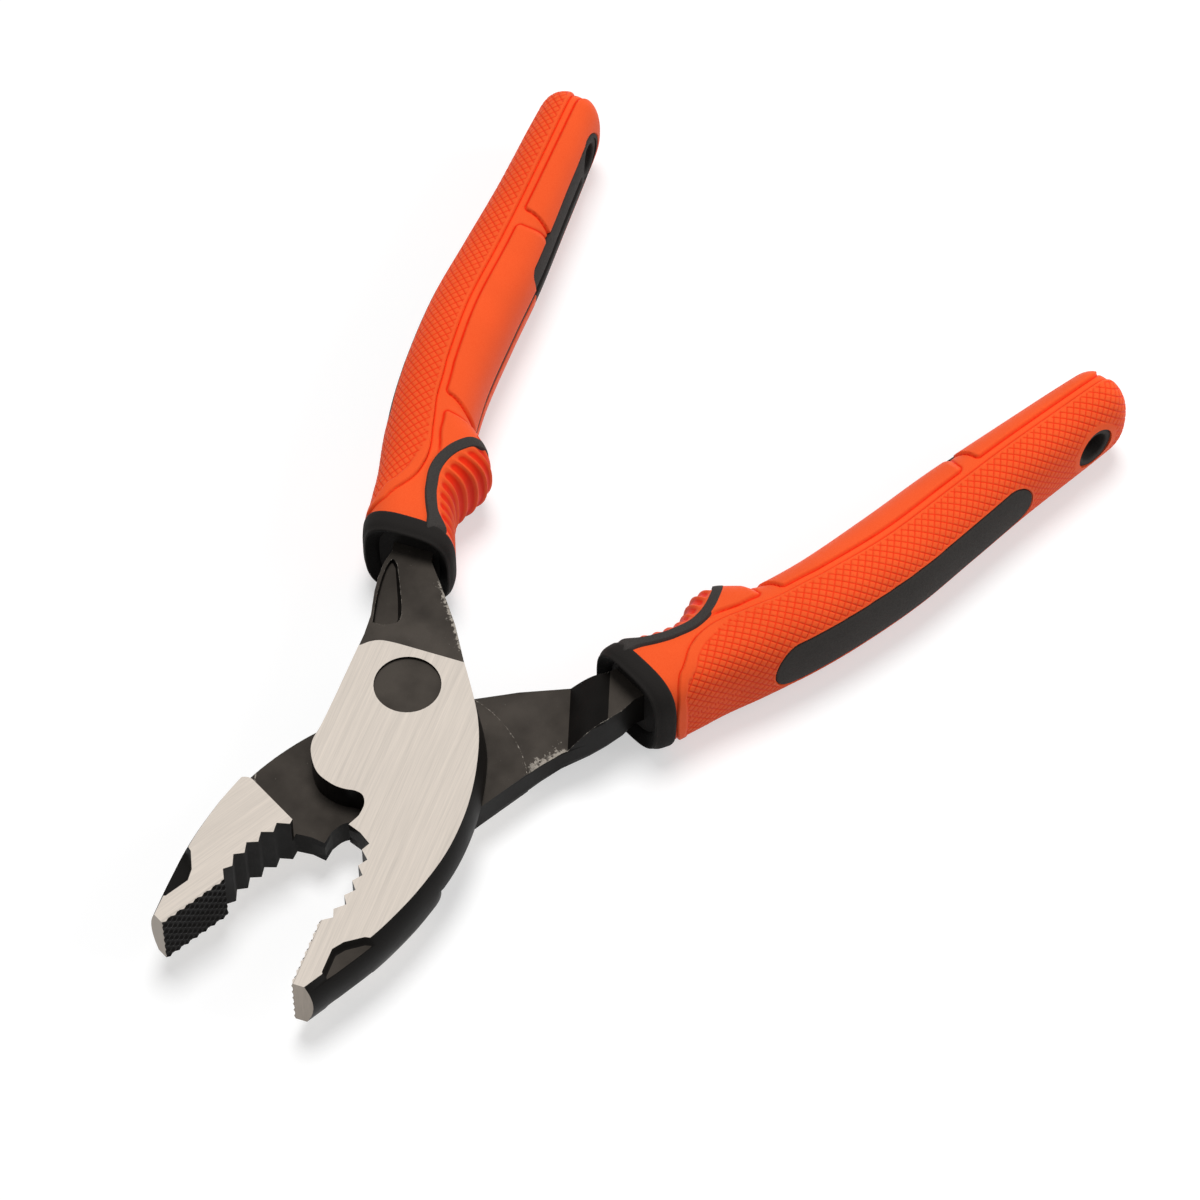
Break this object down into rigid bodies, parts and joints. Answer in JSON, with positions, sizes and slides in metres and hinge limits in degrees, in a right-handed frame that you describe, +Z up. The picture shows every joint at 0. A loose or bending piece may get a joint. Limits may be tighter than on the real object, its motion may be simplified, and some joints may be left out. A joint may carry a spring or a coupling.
{
  "type": "slip joint pliers",
  "caption": "Slip joint pliers: lapped forged levers on a sliding pivot, flat nose and toothed pipe bite, wire shear, and moulded grips with finger guards and hang holes.",
  "frame": {"origin": "on the pivot axis, in the flat foot of the pivot nut, which lies on the table with the two grips", "axes": "+X from the jaws to the handles along the middle of the opening, +Y from the lower lever's handle to the upper lever's handle, +Z up, along the pivot from the nut to the plate"},
  "size_m": [0.1962, 0.1314, 0.0204],
  "materials": {
    "lever_steel": "ground faces, black oxide on the forged walls and necks",
    "pivot_steel": "plain turned",
    "orange_moulding": "soft satin, textured on the outer side",
    "dark_moulding": "fine matte grain"
  },
  "bodies": {
    "lower_half": {"lower_lever": "lever_steel", "lower_grip_core": "dark_moulding", "lower_collar": "dark_moulding", "lower_outer_skin": "orange_moulding", "lower_inner_skin": "orange_moulding", "lower_thumb_pad": "orange_moulding", "lower_outer_inlay": "dark_moulding", "lower_inner_strip": "dark_moulding", "lower_hang_bush": "dark_moulding"},
    "slip_washer": {"pivot_washer": "pivot_steel"},
    "upper_half": {"upper_lever": "lever_steel", "pivot_stud": "pivot_steel", "pivot_nut": "pivot_steel", "upper_grip_core": "dark_moulding", "upper_collar": "dark_moulding", "upper_outer_skin": "orange_moulding", "upper_inner_skin": "orange_moulding", "upper_thumb_pad": "orange_moulding", "upper_outer_inlay": "dark_moulding", "upper_inner_strip": "dark_moulding", "upper_hang_bush": "dark_moulding"}
  },
  "joints": [
    {"name": "slip", "type": "slide", "parent": "lower_half", "child": "slip_washer", "axis": [-0.0872, -0.9962, 0], "range_m": [0, 0.0062]},
    {"name": "jaw_pivot", "type": "hinge", "parent": "slip_washer", "child": "upper_half", "pos_m": [0, 0, 0.0102], "axis": [0, 0, 1], "range_deg": [-29.6, 20]}
  ]
}
